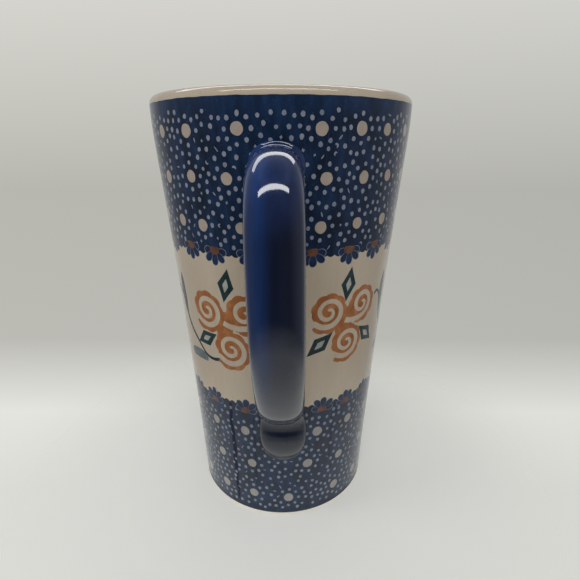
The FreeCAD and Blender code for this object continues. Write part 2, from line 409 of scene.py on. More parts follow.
def rhombus(long_half, short_half, turn=0.0, bow=0.06):
    """A diamond with its long axis upright before the turn, and sides bowed slightly outwards."""
    corners = [(0, -long_half), (short_half, 0), (0, long_half), (-short_half, 0)]
    points = []
    for (x0, y0), (x1, y1) in zip(corners, corners[1:] + corners[:1]):
        for t in (0, 0.25, 0.5, 0.75):
            swell = 1 + bow * 4 * t * (1 - t)
            points.append(((x0 + (x1 - x0) * t) * swell, (y0 + (y1 - y0) * t) * swell))
    return turned_by(points, turn)


def petal(length, width, turn):
    """A rounded petal that points down before the turn, narrow at the flower's centre."""
    points = []
    for i in range(PETAL_POINTS):
        a = TURN * i / PETAL_POINTS
        along = (1 - math.cos(a)) / 2
        points.append((-math.sin(a) * width / 2 * along**0.55, -along * length))
    return turned_by(points, turn)


def eased(p, q, r, s, t):
    """A number a share t of the way from q to r, where p comes before them and s after."""
    bend = (2 * p - 5 * q + 4 * r - s) * t**2
    return 0.5 * (2 * q + (r - p) * t + bend + (3 * q - p - 3 * r + s) * t**3)


def smooth_line(points, per_span=8):
    """A Catmull-Rom line through a few points."""
    ends = [points[0]] + list(points) + [points[-1]]
    line = []
    for span in zip(ends, ends[1:], ends[2:], ends[3:]):
        for i in range(per_span):
            line.append(tuple(eased(*numbers, i / per_span) for numbers in zip(*span)))
    line.append(tuple(points[-1]))
    return line


def stroke(line, width):
    """A brush stroke along a line. Width is a function of the way along, from 0 to 1."""
    left, right = [], []
    for i, (x, y) in enumerate(line):
        x0, y0 = line[max(i - 1, 0)]
        x1, y1 = line[min(i + 1, len(line) - 1)]
        length = math.hypot(x1 - x0, y1 - y0)
        nx, ny = (y0 - y1) / length, (x1 - x0) / length
        half = width(i / (len(line) - 1)) / 2
        left.append((x + nx * half, y + ny * half))
        right.append((x - nx * half, y - ny * half))
    return right + left[::-1]


# ---- the painted plane

PLANE_RADIUS = 39.0
PLANE_HALF = math.pi * PLANE_RADIUS
GRID_COLUMNS = 180
GRID_AZIMUTH = TURN / GRID_COLUMNS
GRID_RISE = 2.5
# Points closer than this on the plane become one.
CUT_GRAIN = 1e-4


def signed_area(outline):
    return sum(x0 * y1 - x1 * y0 for (x0, y0), (x1, y1) in zip(outline, outline[1:] + outline[:1])) / 2


class Painting:
    """Outlines on the unrolled wall. A later outline covers an earlier one."""

    def __init__(self):
        self.points, self.faces, self.paints = [], [], []

    def add(self, paint, outline, azimuth=None, z=None):
        """Paint an outline given in plane millimetres, or about a centre at (degrees, height)."""
        if azimuth is not None:
            stretch = PLANE_RADIUS / wall_radius(z)
            centre = math.radians((azimuth + 180) % 360 - 180) * PLANE_RADIUS
            outline = [(centre + x * stretch, z + y) for x, y in outline]
        if signed_area(outline) < 0:
            outline = outline[::-1]
        low_x = min(x for x, _ in outline)
        high_x = max(x for x, _ in outline)
        shifts = [0]
        if azimuth is not None and low_x < -PLANE_HALF:
            shifts.append(2 * PLANE_HALF)
        if azimuth is not None and high_x > PLANE_HALF:
            shifts.append(-2 * PLANE_HALF)
        for shift in shifts:
            first = len(self.points)
            self.points += [Vector((x + shift, y)) for x, y in outline]
            self.faces.append(list(range(first, len(self.points))))
            self.paints.append(paint)

    def cut(self):
        """The wall's triangles, each with the paint on top: (points, {paint: triangles})."""
        points, _, faces, _, _, owners = delaunay_2d_cdt(self.points, [], self.faces, 0, CUT_GRAIN, True)
        by_paint = {}
        for face, owner in zip(faces, owners):
            if 0 in owner:
                by_paint.setdefault(self.paints[max(owner)], []).append(face)
        return points, by_paint


def plane_sheet(painting):
    """The whole wall as the first outline, with a grid of points to follow its curve."""
    rows = [GLAZE_EDGE + FOOT_ROLL * t for t in (0, 0.06, 0.2, 0.45, 0.75)]
    count = round((LIP_LINE - FOOT_LINE) / GRID_RISE)
    rows += [FOOT_LINE + (LIP_LINE - FOOT_LINE) * i / count for i in range(count + 1)]
    columns = [GRID_AZIMUTH * i * PLANE_RADIUS - PLANE_HALF for i in range(GRID_COLUMNS + 1)]
    columns[-1] = PLANE_HALF
    rim = [(x, rows[0]) for x in columns] + [(columns[-1], z) for z in rows[1:]]
    rim += [(x, rows[-1]) for x in columns[-2::-1]] + [(columns[0], z) for z in rows[-2:0:-1]]
    painting.add("cream", rim)
    painting.points += [Vector((x, z)) for x in columns[1:-1] for z in rows[1:-1]]


# ---- the decoration

BAND_TOP = 103.0
BAND_FOOT = 49.2
BLUE_TOP = LIP_LINE - 0.1
TOP_HUMPS = 106
FOOT_HUMPS = 98
HUMP_DEPTH = 0.75

# Rows of large dots: the row's height, and the azimuths of its dots on the handle's side.
TOP_ROWS = {
    137.5: (-53.0, -36.0, -14.3, 15.3, 31.3, 45.1, 61.5),
    124.8: (-53.5, -36.5, -19.7, 18.0, 34.7, 49.9),
    111.7: (-47.0, -33.5, -15.2, 16.7, 33.8, 50.5),
}
FOOT_ROWS = {
    38.6: (-42.1, -20.9, 20.8, 42.5),
    24.3: (-39.8, -17.8, 15.7, 37.6),
    9.6: (-39.0, -17.7, 4.3, 35.6),
}
TOP_FLOWERS = (-43.2, -28.7, -12.5, 13.9, 31.2, 47.2)
FOOT_FLOWERS = (-40.7, -19.6, 23.1, 38.6)
TOP_FLOWER_HEIGHT = 104.3
FOOT_FLOWER_HEIGHT = 47.3
# Where the dots keep clear of the flowers.
TOP_CLEAR_HEIGHT = 103.6
FOOT_CLEAR_HEIGHT = 47.6
# The degrees from one to the next on the rest of the wall.
TOP_SPACING = 17.2
FOOT_DOT_SPACING = 21.0
FOOT_FLOWER_SPACING = 18.0
# The six clusters: azimuth, height of the middle, size, how far the top diamond leans and how
# far the rosettes are stamped above the middle.
CLUSTERS = (
    (-90.2, 78.6, 1.0, 0.0, 0.3), (-26.6, 78.0, 1.06, -0.14, 0.0), (33.4, 78.6, 1.0, 0.0, 0.8),
    (93.0, 78.6, 1.0, 0.05, 0.2), (152.0, 78.3, 1.03, -0.05, 0.5), (-149.0, 78.8, 1.0, 0.0, 0.0),
)


def full_circle(seen, spacing):
    """The given azimuths, then more at about that spacing round the rest of the wall."""
    gap = 360 - (seen[-1] - seen[0])
    count = round(gap / spacing) - 1
    step = gap / (count + 1)
    rest = [seen[-1] + step * (i + 1) + rng.uniform(-1.3, 1.3) for i in range(count)]
    return list(seen) + rest


EDGE_STEPS = 720


def scalloped_band(lower, upper, lower_wave, upper_wave):
    """A band right round the wall, between two edges that wander by a function of azimuth."""
    columns = [PLANE_HALF * (i / EDGE_STEPS - 1) for i in range(2 * EDGE_STEPS + 1)]
    bottom = [(x, lower + lower_wave(x / PLANE_RADIUS)) for x in columns]
    top = [(x, upper + upper_wave(x / PLANE_RADIUS)) for x in columns]
    return bottom + top[::-1]


def uneven(depth):
    """An edge that wanders smoothly and meets itself after a full turn."""
    waves = [(k, rng.uniform(0, TURN)) for k in (3, 7, 16, 31, 57)]
    return lambda azimuth: sum(depth / 2.2 * math.sin(k * azimuth + start) for k, start in waves)


def straight(_):
    return 0.0


# Dots are looked up by cells of this many degrees and millimetres.
CELL_TURN = 8
CELL_RISE = 4
# Of the small dots, the share worn to a streak, and the share with a crescent or a streak.
STREAKS = 0.035
WORN = 0.06


class Dots:
    """Stamped dots, kept clear of one another."""

    def __init__(self, painting, lower, upper):
        self.painting, self.lower, self.upper = painting, lower, upper
        self.taken = {}

    def cell(self, azimuth, z):
        return int(azimuth % 360 // CELL_TURN), int(z // CELL_RISE)

    def distance(self, azimuth, z, other):
        """From a place on the wall to the edge of another dot."""
        turn = (azimuth - other[0] + 180) % 360 - 180
        across = math.radians(turn) * wall_radius((z + other[1]) / 2)
        return math.hypot(across, z - other[1]) - other[2]

    def free(self, azimuth, z, room):
        """Whether a place is inside the band with that much room round it."""
        if not self.lower + room * 0.8 < z < self.upper - room * 0.8:
            return False
        column, row = self.cell(azimuth, z)
        columns = 360 // CELL_TURN
        near = [spot for i in (-1, 0, 1) for j in (-1, 0, 1)
                for spot in self.taken.get(((column + i) % columns, row + j), ())]
        return all(self.distance(azimuth, z, other) > room for other in near)

    def keep_clear(self, azimuth, z, radius):
        self.taken.setdefault(self.cell(azimuth, z), []).append((azimuth, z, radius))

    def big(self, azimuth, z):
        size = rng.uniform(1.68, 1.84)
        shape = blob(size, size * rng.uniform(1.0, 1.08), 0.022, 28)
        self.painting.add("big_dots", shape, azimuth, z)
        self.keep_clear(azimuth, z, size)

    def small(self, azimuth, z, size):
        """A small dot. A few are smeared or worn to a crescent, as hand stamping leaves them."""
        luck = rng.random()
        turn = rng.uniform(0, TURN)
        if luck < STREAKS:
            self.painting.add("pale", blob(size * 0.4, size * 1.2, 0.1, 10, turn), azimuth, z)
        elif luck < WORN:
            self.painting.add("pale", blob(size, size, 0.06, 14), azimuth, z)
            cover = moved(blob(size * 0.85, size * 0.85, 0.05, 12), size * 0.8, 0)
            self.painting.add("cobalt", turned_by(cover, turn), azimuth, z)
        else:
            shape = blob(size, size * rng.uniform(1.02, 1.24), 0.06, 12)
            self.painting.add("pale", shape, azimuth, z)
        self.keep_clear(azimuth, z, size)

    def chip(self, azimuth, z, size):
        """A filler between rings: a small four-cornered dab or a short streak."""
        if rng.random() < 0.3:
            shape = blob(0.2, rng.uniform(0.6, 1.0), 0.1, 8, rng.choice((-0.6, 0.5, 0.7)))
        else:
            shape = rhombus(size * 1.1, size * 0.85, rng.uniform(-0.5, 0.5), -0.2)
        self.painting.add("pale", shape, azimuth, z)
        self.keep_clear(azimuth, z, size)


RING_RADIUS = 3.75
RING_COUNT = 8
RING_ROOM = 1.1
FLOWER_ROOM = 1.9
CHIPS = 0.16
# Fillers go wherever they find this much room, the widest gaps first, in this many tries.
FILLER_PASSES = ((2.0, 4000), (1.7, 7000), (1.45, 12000))


def dotted_band(painting, rows, spacing, lower, upper, flowers, flower_z):
    """Rows of large dots, each with a ring of small ones, and fillers in the gaps."""
    dots = Dots(painting, lower, upper)
    for azimuth in flowers:
        dots.keep_clear(azimuth, flower_z, FLOWER_ROOM)
    centres = [(azimuth, z + rng.uniform(-0.5, 0.5)) for z, seen in rows.items()
               for azimuth in full_circle(seen, spacing)]
    for azimuth, z in centres:
        dots.big(azimuth, z)
    for azimuth, z in centres:
        start = rng.uniform(-0.12, 0.12)
        for i in range(RING_COUNT):
            angle = start + TURN * i / RING_COUNT + rng.uniform(-0.07, 0.07)
            reach = RING_RADIUS * rng.uniform(0.96, 1.05)
            spot_z = z + reach * math.sin(angle)
            spot = azimuth + math.degrees(reach * math.cos(angle) / wall_radius(z))
            if dots.free(spot, spot_z, RING_ROOM):
                dots.small(spot, spot_z, rng.uniform(0.54, 0.64))
    for room, tries in FILLER_PASSES:
        for _ in range(tries):
            azimuth, z = rng.uniform(-180, 180), rng.uniform(lower, upper)
            if dots.free(azimuth, z, room):
                if rng.random() < CHIPS:
                    dots.chip(azimuth, z, rng.uniform(0.45, 0.58))
                else:
                    dots.small(azimuth, z, rng.uniform(0.52, 0.66))


# The petals' turns from straight down, in the order they are stamped, and the centre's corners.
PETAL_TURNS = (-1.42, 1.42, -0.74, 0.74, 0.0)
CENTRE_CORNERS = ((1.5, 0.95), (-1.5, 0.95), (-1.75, -0.2), (-0.8, -1.25), (0.8, -1.25), (1.75, -0.2))
CORNER_SLIP = 0.22


def half_flower(painting, azimuth, z, side):
    """Pale-edged blue petals about a brown centre. Side is -1 where they hang, 1 where they stand."""
    tilt = rng.uniform(-0.12, 0.12)
    base = 0 if side < 0 else math.pi
    petals = []
    for turn in PETAL_TURNS:
        length = rng.uniform(4.5, 5.0) if abs(turn) < 1 else rng.uniform(3.7, 4.1)
        petals.append((length, rng.uniform(2.75, 3.1), base + turn + tilt + rng.uniform(-0.05, 0.05)))
    for length, width, turn in petals:
        painting.add("pale", petal(length + 0.16, width + 0.36, turn), azimuth, z)
    for length, width, turn in petals:
        painting.add("pale", petal(length + 0.1, width + 0.34, turn), azimuth, z)
        painting.add("petals", petal(length, width, turn), azimuth, z)
    outline = []
    for x, y in CENTRE_CORNERS:
        slip_x, slip_y = rng.uniform(-CORNER_SLIP, CORNER_SLIP), rng.uniform(-CORNER_SLIP, CORNER_SLIP)
        outline.append((x + slip_x, -y * side + slip_y))
    centre = smooth_line(outline + outline[:1], 4)[:-1]
    painting.add("centres", centre, azimuth, z)


def scalloped(side, humps, depth):
    """An edge of small rounded humps, none of them quite alike. Side is -1 where they hang down."""
    sizes = [rng.uniform(0.55, 1.0) for _ in range(humps)]
    drift = uneven(0.16)

    def wave(azimuth):
        place = (azimuth / TURN + 0.5) % 1 * humps
        size = sizes[int(place) % humps]
        return side * depth * size * math.sin(math.pi * (place % 1)) ** 0.7 + drift(azimuth)

    return wave


# A rosette, by turns from where its cream line opens: the rust edge's distance from the centre
# and the cream line's. A tailed one's edge is a spiral that passes outside the line's mouth and
# ends there; a plain one's line runs out through the edge.
TAIL_EDGE = ((0, 0.06, 0.25, 0.38, 0.63, 0.88, 1.0), (7.5, 7.55, 7.05, 6.65, 6.2, 5.75, 4.8))
TAIL_LINE = (
    (-0.03, 0.0, 0.12, 0.25, 0.38, 0.63, 0.88, 1.0, 1.25, 1.5, 1.65),
    (5.95, 5.45, 5.1, 4.9, 4.6, 3.75, 2.95, 2.6, 2.1, 1.2, 0.5),
)
PLAIN_EDGE = ((0, 0.12, 0.3, 0.5, 1.0), (5.9, 6.7, 6.6, 6.0, 5.9))
PLAIN_LINE = (
    (-0.01, 0.06, 0.14, 0.25, 0.38, 0.63, 0.88, 1.1, 1.35, 1.55, 1.65),
    (8.2, 5.8, 4.6, 4.05, 3.85, 3.7, 3.0, 2.3, 1.5, 0.85, 0.4),
)
EDGE_POINTS = 110
EDGE_RIPPLE = 0.55
LINE_POINTS = 80


def winding(opening, turns, radii, count, ripple=0.0):
    """A line that winds about a centre from the opening angle, with the distance set by turns."""
    start = rng.uniform(0, TURN)
    points = []
    for i in range(count + 1):
        turn = turns[0] + (turns[-1] - turns[0]) * i / count
        angle = opening + TURN * turn
        radius = np.interp(turn, turns, radii)
        radius += ripple * (abs(math.sin(4.5 * angle + start)) ** 0.8 - 0.5)
        points.append((radius * math.cos(angle), radius * math.sin(angle)))
    return points


def rosette(painting, azimuth, z, size, opening, tail):
    """A rust rosette with a scalloped edge and a cream line that winds in to its centre."""
    edge = winding(opening, *(TAIL_EDGE if tail else PLAIN_EDGE), EDGE_POINTS, EDGE_RIPPLE)
    if not tail:
        edge = edge[:-1]
    painting.add("rosettes", [(size * x, size * y) for x, y in edge], azimuth, z)
    line = winding(opening, *(TAIL_LINE if tail else PLAIN_LINE), LINE_POINTS)
    wobble = rng.uniform(0, TURN)
    shape = stroke(line, lambda t: 1.9 - 0.85 * t + 0.10 * math.sin(11 * t + wobble))
    painting.add("outline", [(size * x, size * y) for x, y in shape], azimuth, z)


# A cluster's rosettes: the place of each about the middle, its share of the cluster's size, the
# degrees at which its line opens, and whether it has a tail.
ROSETTES = (
    (-7.3, 4.9, 1.0, 222, True),
    (0.9, -7.2, 1.0, 226, True),
    (6.6, 5.5, 1.02, 212, False),
)


def flower_cluster(painting, azimuth, z, size):
    """Three rosettes, over a rust dab that joins them in the middle."""
    middle = blob(3.2 * size, 5.6 * size, 0.07, 24, -0.35)
    painting.add("rosettes", moved(middle, -0.7, 0.5), azimuth, z)
    for across, up, share, opening, tail in ROSETTES:
        up *= size
        turn = math.degrees(across * size / wall_radius(z + up)) + rng.uniform(-0.3, 0.3)
        opening = math.radians(opening + rng.uniform(-5, 5))
        height = z + up + rng.uniform(-0.25, 0.25)
        rosette(painting, azimuth + turn, height, share * size, opening, tail)


def diamonds(painting, azimuth, z, size, lean):
    """Three green diamonds round a cluster, each with a pale heart: above, lower left, lower right."""
    for across, up, turn in (
        (-0.3 - 8 * lean, 14.0, lean - 0.10),
        (-9.3, -5.6, 2.2 * lean - 0.80),
        (10.8, -6.2, 0.86),
    ):
        up *= size
        where = azimuth + math.degrees(across * size / wall_radius(z + up)) + rng.uniform(-0.4, 0.4)
        turn += rng.uniform(-0.06, 0.06)
        painting.add("diamonds", rhombus(5.85, 2.95, turn, -0.03), where, z + up)
        painting.add("hearts", rhombus(2.35, 1.05, turn, 0.05), where, z + up)


# The stem, from its broad tip to the next cluster, and the curl beside it: degrees from the
# cluster's middle and millimetres above it. The stem's width goes by the way along it.
STEM = (
    (30.8, 14.0), (30.5, 9.5), (30.5, 4.5), (31.5, -0.5), (35.0, -5.2), (42.0, -9.9), (47.1, -13.1),
    (52.3, -13.9), (58.7, -13.0),
)
CURL = ((20.6, 7.3), (22.8, 8.2), (25.6, 7.4), (28.0, 5.2), (29.8, 2.4))
STEM_WIDTH = ((0, 0.10, 0.24, 0.40, 0.70, 0.86, 1.0), (0.5, 3.4, 4.3, 1.6, 0.9, 1.2, 1.3))
LEAF_HALF = 5.8
LEAF_WIDTH = 3.9
LEAF_TURN = 1.62
LEAF_PLACE = (39.4, -14.9)


def leaf_width(t):
    return max(LEAF_WIDTH * math.sin(math.pi * (0.02 + 0.96 * t)) ** 0.25, 0.2)


def curl_width(t):
    return 0.95 + 0.15 * t


def stem_width(t):
    return np.interp(t, *STEM_WIDTH)


def vine(painting, azimuth, z):
    """The stem between this cluster and the next, with a curl and a brushed leaf."""
    degree = math.radians(1) * wall_radius(z)
    middle = [(0, -LEAF_HALF), (0.4, -LEAF_HALF / 3), (0.25, LEAF_HALF / 3), (-0.3, LEAF_HALF)]
    leaf = turned_by(stroke(smooth_line(middle), leaf_width), LEAF_TURN)
    painting.add("leaves", moved(leaf, LEAF_PLACE[0] * degree, LEAF_PLACE[1]), azimuth, z)
    for line, width in ((CURL, curl_width), (STEM, stem_width)):
        line = smooth_line([(a * degree, up) for a, up in line])
        painting.add("stems", stroke(line, width), azimuth, z)


# Lines by azimuth, top and foot: lighter ones near the lip, and the broad dark run, which has its width
# too.
LIGHTER_LINES = ((-21.3, 143.8, 119), (17.6, 143.8, 114), (-34, 143.5, 134))
BROAD_RUN = (-29.1, 48.8, 4.5, 1.8)
RUN_STEP = 4


def down_line(painting, paint, azimuth, top, foot, width):
    """A narrow line down the wall."""
    count = max(3, round((top - foot) / RUN_STEP))
    drift = uneven(0.28)
    line = []
    for i in range(count + 1):
        z = top + (foot - top) * i / count
        line.append((math.radians(azimuth) * PLANE_RADIUS + drift(i * 0.9), z))

    def swelling(t):
        return width * (0.5 + 0.5 * math.sin(math.pi * t))

    painting.add(paint, stroke(smooth_line(line, 3), swelling))


def runs_and_lines(painting):
    """Fine lighter lines below the lip, and darker runs down the lower band, one of them broad."""
    for azimuth, top, foot in LIGHTER_LINES:
        down_line(painting, "petals", azimuth, top, foot, 0.2)
    for azimuth in range(-170, 180, 34):
        turn = azimuth + rng.uniform(-12, 12)
        down_line(painting, "petals", turn, rng.uniform(138, 143), rng.uniform(106, 122), 0.25)
    down_line(painting, "runs", *BROAD_RUN)
    for azimuth in range(-150, 180, 45):
        turn = azimuth + rng.uniform(-9, 9)
        down_line(painting, "runs", turn, rng.uniform(44, 48), rng.uniform(8, 25), 0.4)


def paint_wall():
    """The whole decoration, from the ground up: a later paint covers what is under it."""
    painting = Painting()
    plane_sheet(painting)
    top_flowers = full_circle(TOP_FLOWERS, TOP_SPACING)
    foot_flowers = full_circle(FOOT_FLOWERS, FOOT_FLOWER_SPACING)
    top_edge = scalloped(-1, TOP_HUMPS, HUMP_DEPTH)
    painting.add("cobalt", scalloped_band(BAND_TOP, BLUE_TOP, top_edge, uneven(0.06)))
    foot_edge = scalloped(1, FOOT_HUMPS, HUMP_DEPTH)
    painting.add("cobalt", scalloped_band(GLAZE_EDGE - 0.5, BAND_FOOT, straight, foot_edge))
    runs_and_lines(painting)
    top, foot = (BAND_TOP + 0.6, BLUE_TOP - 2.2), (FOOT_LINE + 0.6, BAND_FOOT - 0.4)
    dotted_band(painting, TOP_ROWS, TOP_SPACING, *top, top_flowers, TOP_CLEAR_HEIGHT)
    dotted_band(painting, FOOT_ROWS, FOOT_DOT_SPACING, *foot, foot_flowers, FOOT_CLEAR_HEIGHT)
    for azimuth in top_flowers:
        half_flower(painting, azimuth, TOP_FLOWER_HEIGHT + rng.uniform(-0.3, 0.3), -1)
    for azimuth in foot_flowers:
        half_flower(painting, azimuth, FOOT_FLOWER_HEIGHT + rng.uniform(-0.3, 0.3), 1)
    for azimuth, z, _, _, _ in CLUSTERS[:1] + CLUSTERS[2:]:
        vine(painting, azimuth, z)
    for azimuth, z, size, lean, lift in CLUSTERS:
        flower_cluster(painting, azimuth, z + lift, size)
        diamonds(painting, azimuth, z, size, lean)
    return painting


PAINTED_PIECES = {
    "cobalt": "cobalt_ground",
    "cream": "cream_ground",
    "outline": "cream_lines",
    "big_dots": "cream_dots",
    "pale": "pale_marks",
    "petals": "blue_petals",
    "centres": "flower_centres",
    "rosettes": "rust_rosettes",
    "diamonds": "green_diamonds",
    "hearts": "diamond_hearts",
    "stems": "green_stems",
    "leaves": "brushed_leaves",
    "runs": "cobalt_runs",
}


def make_painted_wall():
    """Cut the painted plane and wrap each paint's share of it onto the wall."""
    points, by_paint = paint_wall().cut()
    tall = LIP_LINE - GLAZE_EDGE
    spread = [(p.x / (2 * PLANE_HALF) + 0.5, (p.y - GLAZE_EDGE) / tall) for p in points]
    for paint, name in PAINTED_PIECES.items():
        triangles = by_paint[paint]
        used = sorted({i for face in triangles for i in face})
        index = {old: new for new, old in enumerate(used)}
        azimuths = [points[i].x / PLANE_RADIUS for i in used]
        heights = [points[i].y for i in used]
        places = [on_wall(a, z) for a, z in zip(azimuths, heights)]
        normals = [wall_normal(a, z) for a, z in zip(azimuths, heights)]
        faces = [tuple(index[i] for i in face) for face in triangles]
        piece = make_mesh(name, places, faces, normals, [spread[i] for i in used])
        finish_piece(piece, paint, "painted_glaze", "body_glaze")


# ---- lip, lining and base

WALL_THICK = 4.9
WALL_THICK_LOW = 5.15
FLOOR_CORNER = 8.65
# The lining's wall bows inwards by a quarter of this half way up.
LINING_BOW = 2.6
LIP_STEPS = 28
WALL_STEPS = 60
CORNER_STEPS = 14
FLOOR_STEPS = 12
RECESS_FILLET = 1.1
RECESS_STEPS = 10
FILLET_STEPS = 8
# A turned surface stops this near the axis, and the base this far inside the foot ring.
AXIS_GAP = 0.02


def lining_profile():
    """Over the rounded lip, down the inside and across the floor to the axis."""
    centre = RIM_RADIUS - WALL_THICK / 2
    outer = wall_radius(LIP_LINE) - centre
    rise = HEIGHT - LIP_LINE
    profile = []
    for i in range(LIP_STEPS + 1):
        a = math.pi * i / LIP_STEPS
        half = outer if a < math.pi / 2 else WALL_THICK / 2
        profile.append((centre + half * math.cos(a), LIP_LINE + rise * math.sin(a)))
    corner_z = FLOOR_HEIGHT + FLOOR_CORNER
    top, foot = RIM_RADIUS - WALL_THICK, FOOT_RADIUS - WALL_THICK_LOW
    for i in range(1, WALL_STEPS + 1):
        z = LIP_LINE + (corner_z - LIP_LINE) * i / WALL_STEPS
        t = min((z - corner_z) / (RIM_BAND_LINE - corner_z), 1.0)
        profile.append((foot + (top - foot) * t - LINING_BOW * t * (1 - t), z))
    for i in range(1, CORNER_STEPS + 1):
        a = math.pi / 2 * i / CORNER_STEPS
        profile.append((foot - FLOOR_CORNER * (1 - math.cos(a)), corner_z - FLOOR_CORNER * math.sin(a)))
    flat = profile[-1][0]
    for i in range(1, FLOOR_STEPS + 1):
        share = 1 - i / FLOOR_STEPS
        profile.append((max(flat * share, AXIS_GAP), FLOOR_HEIGHT))
    return profile


def make_lining():
    piece = turned("cream_lining", lining_profile())
    return finish_piece(piece, "lining", "cream_glaze", "liner_glaze")


def make_base():
    """The glazed recess under the base, with its edge wiped back above the foot ring."""
    profile = [(AXIS_GAP, RECESS_HEIGHT)]
    flat = RECESS_RADIUS - AXIS_GAP - RECESS_FILLET
    profile += [(flat * i / RECESS_STEPS, RECESS_HEIGHT) for i in range(1, RECESS_STEPS + 1)]
    for i in range(1, FILLET_STEPS + 1):
        a = math.pi / 2 * i / FILLET_STEPS
        drop = RECESS_FILLET * (1 - math.cos(a))
        profile.append((flat + RECESS_FILLET * math.sin(a), RECESS_HEIGHT - drop))
    piece = turned("cream_base", profile[::-1])
    return finish_piece(piece, "lining", "cream_glaze", "base_glaze")


def keep_foot():
    """The cup's clay stays as it is. Only its foot ring shows, bare."""
    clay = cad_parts["cup_body"]
    clay.data.materials.clear()
    clay.data.materials.append(MATERIALS["clay"])


# ---- the handle

# The strap from its top end to the tip of its tail, a row at a time: the outer face's distance
# from the axis and height, the inner face's, and half the strap's width. Both ends of the list
# are inside the wall, and the tail's inner face is too.
STRAP_ROWS = [
    (40.4, 133.6, 40.4, 122.6, 6.3), (42.6, 133.3, 42.6, 122.6, 6.3), (45.4, 133.05, 45.2, 122.6, 6.45),
    (49.5, 133.15, 49.0, 122.4, 6.65), (54.1, 133.2, 52.6, 121.7, 6.85), (58.6, 132.1, 55.6, 120.2, 6.95),
    (62.9, 129.4, 57.9, 117.9, 7.0), (66.6, 125.6, 59.4, 115.0, 7.0), (69.2, 120.8, 60.4, 111.6, 7.0),
    (70.5, 115.5, 60.9, 108.0, 7.0), (70.9, 110.0, 61.0, 104.5, 7.0), (70.95, 104.0, 61.0, 100.8, 7.0),
    (70.9, 98.0, 60.9, 97.0, 7.0), (70.6, 92.3, 60.6, 93.2, 7.0), (69.9, 86.6, 60.0, 89.0, 7.0),
    (68.6, 81.0, 58.9, 84.6, 7.0), (66.8, 75.7, 57.3, 80.2, 7.0), (64.6, 70.7, 55.3, 76.0, 7.0),
    (62.2, 66.2, 53.0, 72.0, 7.0), (59.6, 62.1, 50.6, 68.4, 7.0), (56.4, 58.4, 48.0, 65.2, 7.0),
    (52.8, 55.2, 45.2, 62.4, 7.0), (49.1, 52.6, 42.2, 59.8, 6.95), (45.7, 50.6, 39.2, 57.4, 6.85),
    (42.9, 49.1, 36.6, 54.8, 6.75), (41.0, 47.8, 35.2, 51.8, 6.85), (39.9, 46.3, 34.4, 49.2, 7.15),
    (39.2, 44.5, 34.0, 46.8, 7.5), (39.1, 42.4, 33.7, 44.0, 7.75), (39.35, 40.0, 33.4, 41.0, 7.85),
    (39.4, 37.4, 33.2, 38.0, 7.8), (38.9, 34.6, 33.0, 35.6, 7.4), (37.9, 31.9, 32.8, 33.6, 6.5),
    (36.6, 29.6, 32.6, 32.4, 5.0), (35.4, 28.1, 32.4, 31.6, 2.6),
]
RINGS_PER_ROW = 9
AROUND = 72
# The power of the section's superellipse, a little squarer than an ellipse's 2.
SECTION_POWER = 2.25
# Near the wall the strap spreads by the fillet, eases onto the wall over a short distance and
# ends just under it.
FILLET = 1.3
EASE = 0.8
SINK = 0.25
# The strap leans: its top end and its tail are this far to the side.
TOP_LEAN = -0.5
FOOT_LEAN = 0.8


def section_point(angle):
    """A point on the strap's rounded section: outwards and sideways, each between -1 and 1."""
    c, s = math.cos(angle), math.sin(angle)
    power = 2 / SECTION_POWER
    return math.copysign(abs(c) ** power, c), math.copysign(abs(s) ** power, s)


def settle(point, spread):
    """Weld a point of the strap to the wall: spread it near the wall, and ease it onto the glaze."""
    clearance = math.hypot(point.x, point.y) - wall_radius(point.z)
    near = min(max(1 - clearance / FILLET, 0.0), 1.0)
    point = point + spread * (FILLET * (1 - math.sqrt(1 - near * near)))
    clearance = math.hypot(point.x, point.y) - wall_radius(point.z)
    above = clearance + SINK
    radius = wall_radius(point.z) - SINK + (above + math.sqrt(above * above + EASE * EASE)) / 2
    turn = math.atan2(point.x, -point.y)
    return Vector((radius * math.sin(turn), -radius * math.cos(turn), point.z))


def strap_rings():
    """Rings of points along the strap, each a rounded section settled against the wall."""
    rows = smooth_line(STRAP_ROWS, RINGS_PER_ROW)
    top, foot = STRAP_ROWS[0][1], STRAP_ROWS[-1][1]
    rings = []
    for outer_r, outer_z, inner_r, inner_z, wide in rows:
        outer = Vector((0, -outer_r, outer_z))
        inner = Vector((0, -inner_r, inner_z))
        middle, half = (outer + inner) / 2, (outer - inner) / 2
        middle.x = TOP_LEAN + (FOOT_LEAN - TOP_LEAN) * (top - middle.z) / (top - foot)
        ring = []
        for j in range(AROUND):
            out, side = section_point(TURN * j / AROUND)
            aim = half.normalized() * (out / half.length) + Vector((side / wide, 0, 0))
            point = middle + half * out + Vector((side * wide, 0, 0))
            ring.append(settle(point, aim.normalized()))
        rings.append(ring)
    return rings


def make_handle():
    rings = strap_rings()
    places = [p for ring in rings for p in ring]
    faces = []
    for i in range(len(rings) - 1):
        for j in range(AROUND):
            a, b = i * AROUND + j, i * AROUND + (j + 1) % AROUND
            faces.append((a, b, b + AROUND, a + AROUND))
    piece = make_mesh("glazed_handle", places, faces)
    finish_piece(piece, "handle", "cobalt_glaze",
                 "handle", "handle_glaze", "upper_handle_joint", "lower_handle_joint")


make_painted_wall()
make_lining()
make_base()
keep_foot()
make_handle()


# ---- stage, light and camera

# The floor, in metres: half its side, and the distances between which it fades out.
FLOOR_HALF = 0.4
FLOOR_FADE = (0.05, 0.14)

